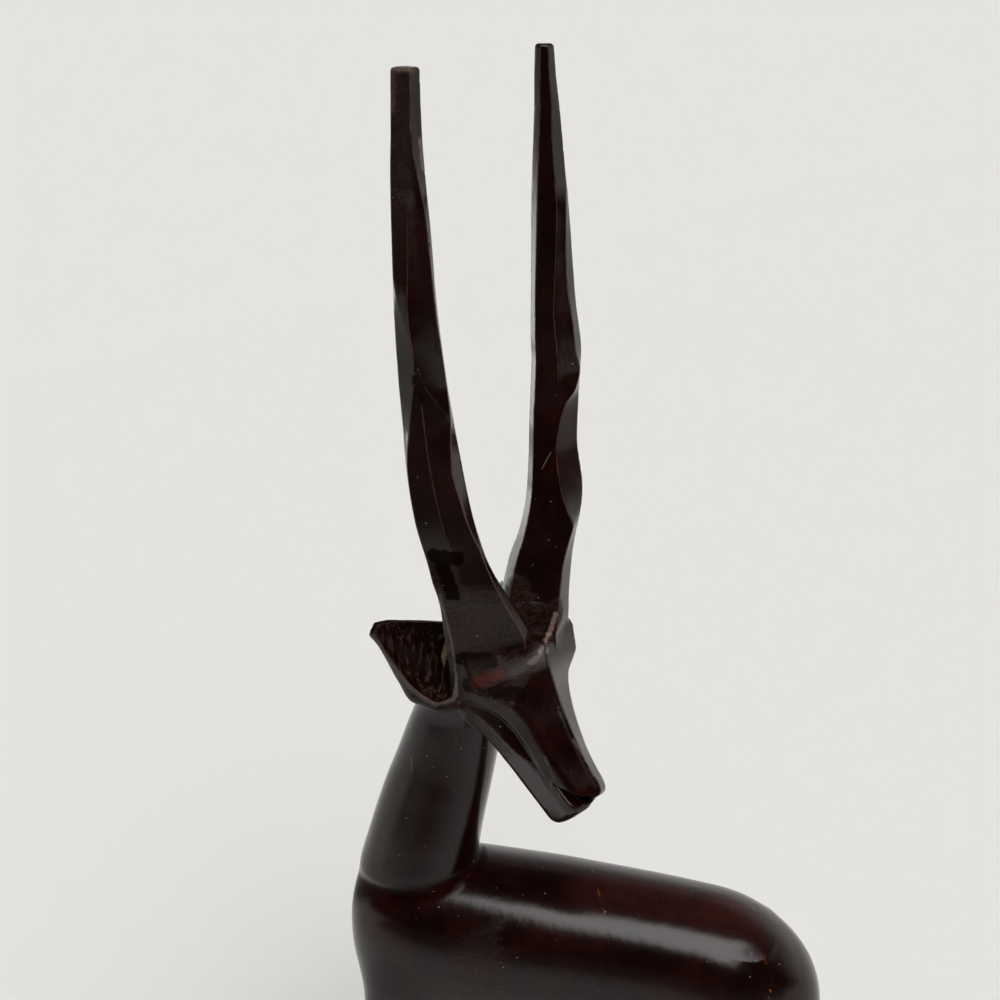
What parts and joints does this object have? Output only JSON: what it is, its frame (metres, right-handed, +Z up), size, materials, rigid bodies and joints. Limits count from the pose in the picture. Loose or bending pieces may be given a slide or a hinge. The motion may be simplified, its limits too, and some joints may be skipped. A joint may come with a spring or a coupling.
{
  "type": "carved gazelle figure",
  "caption": "Standing gazelle with long upright horns, head turned back over its flank, cut in one piece with a low oval plinth.",
  "frame": {"origin": "centre of the plinth's flat underside", "axes": "+Z up through the horns, the body lies along X with the chest towards -X, and the head turns back towards -Y"},
  "size_m": [0.134, 0.0628, 0.314],
  "materials": {
    "dark_hardwood": "dark reddish brown hardwood, waxed to a gloss, with worn orange edges and knife marks"
  },
  "bodies": {
    "root": {"gazelle_figure": "dark_hardwood"}
  },
  "joints": []
}
